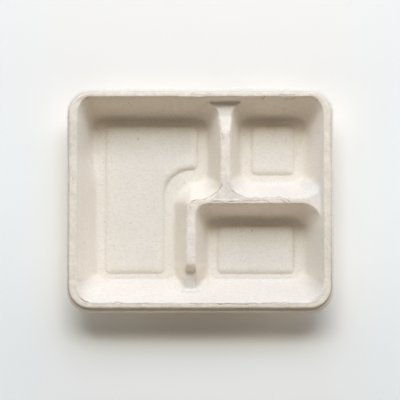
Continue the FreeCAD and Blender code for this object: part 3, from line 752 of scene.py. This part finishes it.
def fibre_material():
    m = Tree("pressed_fibre")
    coord = m.add("ShaderNodeTexCoord").outputs["Object"]
    broad = m.noise(coord, 28.0, 3.0, 0.55)
    mid = m.noise(coord, 210.0, 4.0, 0.62)
    fine_n = m.noise(coord, 620.0, 3.0, 0.65)
    light = (0.865, 0.778, 0.667, 1)
    dark = (0.820, 0.729, 0.614, 1)
    base = m.mix(m.ramp(broad, 0.35, 0.65), light, dark)
    base = m.mix(m.ramp(mid, 0.38, 0.66, 0.0, 0.6), base, (0.806, 0.717, 0.603, 1))
    base = m.mix(m.ramp(fine_n, 0.46, 0.70, 0.0, 0.6), base, (0.900, 0.822, 0.719, 1))
    base = m.mix(m.ramp(fine_n, 0.46, 0.30, 0.0, 0.5), base, (0.762, 0.668, 0.553, 1))

    # thin fibres lying in several directions
    for k, (turn, size) in enumerate(((0.4, 1.0), (1.7, 1.3), (2.6, 0.85), (0.95, 1.15))):
        mp = m.add("ShaderNodeMapping")
        m.join(coord, mp.inputs["Vector"])
        mp.inputs["Rotation"].default_value = (0.3 * k, 0.2 * k, turn)
        mp.inputs["Scale"].default_value = (0.16, 1.0, 1.0)
        f = m.noise(mp.outputs["Vector"], 1150.0 * size, 2.0, 0.5, 0.6)
        base = m.mix(m.ramp(f, 0.63, 0.72, 0.0, 0.5), base,
                     (0.90, 0.85, 0.785, 1) if k % 2 == 0 else (0.60, 0.52, 0.43, 1))

    # scattered specks, small ones at random and the larger ones one by one
    vor = m.add("ShaderNodeTexVoronoi", feature="F1")
    m.join(coord, vor.inputs["Vector"])
    m.put(vor, "Scale", 150.0)
    near = m.ramp(vor.outputs["Distance"], 0.035, 0.085, 1.0, 0.0)
    split = m.add("ShaderNodeSeparateColor")
    m.join(vor.outputs["Color"], split.inputs[0])
    some = m.ramp(split.outputs[0], 0.90, 0.94)
    base = m.mix(m.math("MULTIPLY", m.math("MULTIPLY", near, some), 0.6), base, (0.40, 0.32, 0.24, 1))
    flat_at = m.add("ShaderNodeVectorMath", operation="MULTIPLY")
    m.join(coord, flat_at.inputs[0])
    flat_at.inputs[1].default_value = (1.0, 1.0, 0.0)
    for x, y, size, share in SPECKS:
        gap = m.add("ShaderNodeVectorMath", operation="DISTANCE")
        m.join(flat_at.outputs[0], gap.inputs[0])
        gap.inputs[1].default_value = (x / MM, y / MM, 0.0)
        spot = m.ramp(gap.outputs["Value"], 0.35 * size / MM, 1.25 * size / MM, share, 0.0)
        base = m.mix(spot, base, (0.33, 0.26, 0.19, 1))

    # painted shade in the creases and folds, in the crevice at the rim's foot, on the front lip and along the
    # panels' feet
    mark = m.add("ShaderNodeAttribute", attribute_name="crease_and_painted_shade").outputs["Fac"]
    base = m.mix(mark, base, (0.38, 0.31, 0.24, 1))
    # painted light and shade by area and in each colour channel, with random patches of the sheet's own colour
    tone_and_painted_light_shade = m.add("ShaderNodeAttribute", attribute_name="tone_and_painted_light_shade").outputs["Color"]
    base = m.mix(1.0, base, tone_and_painted_light_shade, "MULTIPLY")

    bsdf = m.add("ShaderNodeBsdfPrincipled")
    m.join(base, bsdf.inputs["Base Color"])
    m.put(bsdf, "Roughness", m.ramp(mid, 0.3, 0.7, 0.72, 0.88))
    bsdf.inputs["Specular IOR Level"].default_value = 0.25
    grain = m.noise(coord, 600.0, 5.0, 0.7)
    lumps = m.noise(coord, 250.0, 2.0, 0.5)
    height = m.math("ADD", m.math("MULTIPLY", grain, 0.5), m.math("MULTIPLY", lumps, 0.6))
    bump = m.add("ShaderNodeBump")
    m.put(bump, "Strength", m.math("MULTIPLY", m.add("ShaderNodeAttribute", attribute_name="grain").outputs["Fac"], 0.5))
    m.put(bump, "Distance", 0.0008)
    m.join(height, bump.inputs["Height"])
    m.join(bump.outputs["Normal"], bsdf.inputs["Normal"])
    out = m.add("ShaderNodeOutputMaterial")
    m.join(bsdf.outputs[0], out.inputs["Surface"])
    return m.mat


shell.data.materials.append(fibre_material())


def floor_material():
    m = Tree("pale_floor")
    coord = m.add("ShaderNodeTexCoord").outputs["Object"]
    n = m.noise(coord, 3.0, 2.0, 0.5)
    base = m.mix(n, (0.980, 0.938, 0.864, 1), (0.988, 0.946, 0.872, 1))
    # painted light falloff: a little paler in the middle than towards the back and the front
    split = m.add("ShaderNodeSeparateXYZ")
    m.join(coord, split.inputs[0])
    back = m.ramp(split.outputs[1], 0.02, 0.115, 0.0, 1.0)
    front = m.ramp(split.outputs[1], -0.045, -0.145, 0.0, 1.0)
    base = m.mix(back, base, (0.932, 0.869, 0.798, 1))
    base = m.mix(front, base, (0.906, 0.868, 0.808, 1))
    # painted light: cooler at the sides and paler at the front corners
    side = m.ramp(m.math("ABSOLUTE", split.outputs[0]), 0.11, 0.20, 0.0, 1.0)
    base = m.mix(side, base, (0.966, 1.0, 1.03, 1), "MULTIPLY")
    base = m.mix(m.math("MULTIPLY", side, front), base, (1.05, 1.05, 1.05, 1), "MULTIPLY")
    # painted shade in a band just behind the tray
    near = m.math("MULTIPLY", m.ramp(split.outputs[1], 0.135, 0.105, 0.0, 1.0),
                  m.ramp(split.outputs[1], 0.06, 0.085, 0.0, 1.0))
    near = m.math("MULTIPLY", near, m.ramp(m.math("ABSOLUTE", split.outputs[0]), 0.13, 0.10, 0.0, 1.0))
    base = m.mix(near, base, (0.95, 0.95, 0.95, 1), "MULTIPLY")
    bsdf = m.add("ShaderNodeBsdfPrincipled")
    m.join(base, bsdf.inputs["Base Color"])
    bsdf.inputs["Roughness"].default_value = 0.85
    bsdf.inputs["Specular IOR Level"].default_value = 0.15
    # far away the floor runs into the pale backdrop, as on a sweep
    reach = m.add("ShaderNodeVectorMath", operation="LENGTH")
    m.join(coord, reach.inputs[0])
    far = m.add("ShaderNodeMapRange", clamp=True, interpolation_type="SMOOTHSTEP")
    m.join(reach.outputs["Value"], far.inputs["Value"])
    m.put(far, "From Min", 0.55)
    m.put(far, "From Max", 1.7)
    sweep = m.add("ShaderNodeEmission")
    sweep.inputs["Color"].default_value = (0.86, 0.87, 0.875, 1)
    sweep.inputs["Strength"].default_value = 0.95
    both = m.add("ShaderNodeMixShader")
    m.join(far.outputs["Result"], both.inputs[0])
    m.join(bsdf.outputs[0], both.inputs[1])
    m.join(sweep.outputs[0], both.inputs[2])
    out = m.add("ShaderNodeOutputMaterial")
    m.join(both.outputs[0], out.inputs["Surface"])
    return m.mat


# --- floor, light and camera ---------------------------------------------------
mesh = bpy.data.meshes.new("floor")
s = 9.0
mesh.from_pydata([(-s, -s, 0), (s, -s, 0), (s, s, 0), (-s, s, 0)], [], [(0, 1, 2, 3)])
floor = bpy.data.objects.new("floor", mesh)
bpy.context.scene.collection.objects.link(floor)
floor.data.materials.append(floor_material())


def area(name, at, aim, size_x, size_y, power, colour=(1, 1, 1)):
    data = bpy.data.lights.new(name, "AREA")
    data.shape = "RECTANGLE"
    data.size, data.size_y = size_x, size_y
    data.energy = power
    data.color = colour
    obj = bpy.data.objects.new(name, data)
    obj.location = at
    obj.rotation_euler = (Vector(aim) - Vector(at)).to_track_quat("-Z", "Y").to_euler()
    obj.visible_camera = False
    bpy.context.scene.collection.objects.link(obj)
    return obj


# A wide softbox behind the tray, dimmer towards its ends and its top, low cards on
# either side and a faint return from the front. Each light is a patch of a dome
# 2.6 m away: heading from +Y, width, height band from the zenith in degrees, then
# radiance in red, green and blue.
DOME = 2.6
for name, head, width, hi, lo, shine in [
        ("softbox_edge", 0, 68, 26, 29, (2.19, 1.78, 0.65)),
        ("softbox_top", 0, 68, 29, 32, (4.70, 4.39, 3.59)),
        ("softbox_high", 0, 68, 32, 35, (8.34, 8.23, 7.76)),
        ("softbox_upper", 0, 68, 35, 38, (10.64, 11.19, 10.84)),
        ("softbox_core", 0, 68, 38, 42, (10.53, 11.63, 11.75)),
        ("softbox_middle", 0, 32, 42, 48, (7.63, 8.15, 10.54)),
        ("softbox_middle_left", -25, 18, 42, 48, (4.18, 5.33, 6.09)),
        ("softbox_middle_right", 25, 18, 42, 48, (4.81, 5.85, 7.50)),
        ("softbox_lower", 0, 32, 48, 54, (6.90, 7.21, 9.24)),
        ("softbox_lower_left", -25, 18, 48, 54, (3.76, 4.70, 5.33)),
        ("softbox_lower_right", 25, 18, 48, 54, (4.39, 5.33, 6.52)),
        ("softbox_foot", 0, 32, 54, 62, (3.83, 3.91, 4.83)),
        ("softbox_foot_left", -25, 18, 54, 62, (2.12, 2.61, 2.80)),
        ("softbox_foot_right", 25, 18, 54, 62, (2.36, 3.02, 3.56)),
        ("spill_left", -42, 16, 42, 62, (1.41, 1.78, 2.12)),
        ("spill_right", 42, 16, 40, 62, (1.88, 2.19, 3.15)),
        ("card_left", -65, 30, 62, 85, (1.46, 1.67, 1.63)),
        ("card_right", 60, 40, 62, 85, (2.09, 2.09, 1.96)),
        ("wall_left", -95, 30, 50, 85, (0.52, 0.55, 0.72)),
        ("wall_right", 95, 30, 50, 85, (0.45, 0.55, 0.64)),
        ("room_front", 180, 140, 50, 85, (0.64, 0.56, 0.46))]:
    parts = 3 if width > 100 else 1
    for k in range(parts):
        az = math.radians(head + width * ((k + 0.5) / parts - 0.5))
        mid = math.radians((hi + lo) / 2)
        size_x = 2 * DOME * math.tan(math.radians(width / parts / 2) * math.sin(mid))
        size_y = 2 * DOME * math.tan(math.radians(lo - hi) / 2)
        peak = max(shine)
        area(name if parts == 1 else "%s_%d" % (name, k + 1),
             (DOME * math.sin(mid) * math.sin(az), DOME * math.sin(mid) * math.cos(az),
              DOME * math.cos(mid) + 0.02), (0, 0, 0.02), size_x, size_y,
             math.pi * size_x * size_y * peak, tuple(c / peak for c in shine))

world = bpy.data.worlds.new("studio")
bpy.context.scene.world = world
world.use_nodes = True
wt = world.node_tree
wt.nodes.clear()
path = wt.nodes.new("ShaderNodeLightPath")
low_bg = wt.nodes.new("ShaderNodeBackground")
low_bg.inputs["Color"].default_value = (1.0, 0.985, 0.96, 1)
low_bg.inputs["Strength"].default_value = 0.0
high_bg = wt.nodes.new("ShaderNodeBackground")
high_bg.inputs["Color"].default_value = (0.86, 0.87, 0.875, 1)
high_bg.inputs["Strength"].default_value = 0.95
pick = wt.nodes.new("ShaderNodeMixShader")
wout = wt.nodes.new("ShaderNodeOutputWorld")
wt.links.new(path.outputs["Is Camera Ray"], pick.inputs[0])
wt.links.new(low_bg.outputs[0], pick.inputs[1])
wt.links.new(high_bg.outputs[0], pick.inputs[2])
wt.links.new(pick.outputs[0], wout.inputs["Surface"])

cam_data = bpy.data.cameras.new("camera")
cam_data.sensor_width = 36.0
cam_data.lens = 18.0 / math.tan(math.radians(22.83 / 2))
cam_data.clip_start, cam_data.clip_end = 0.01, 30.0
cam = bpy.data.objects.new("camera", cam_data)
bpy.context.scene.collection.objects.link(cam)
bpy.context.scene.camera = cam
tilt = math.atan2(0.018, 0.850)
cam.location = (-0.0003, -0.018, 0.888)
cam.rotation_euler = (tilt, 0.0, 0.0)

view = bpy.context.scene.view_settings
view.view_transform = "Standard"
view.look = "None"
view.exposure = 0.0
view.gamma = 1.0
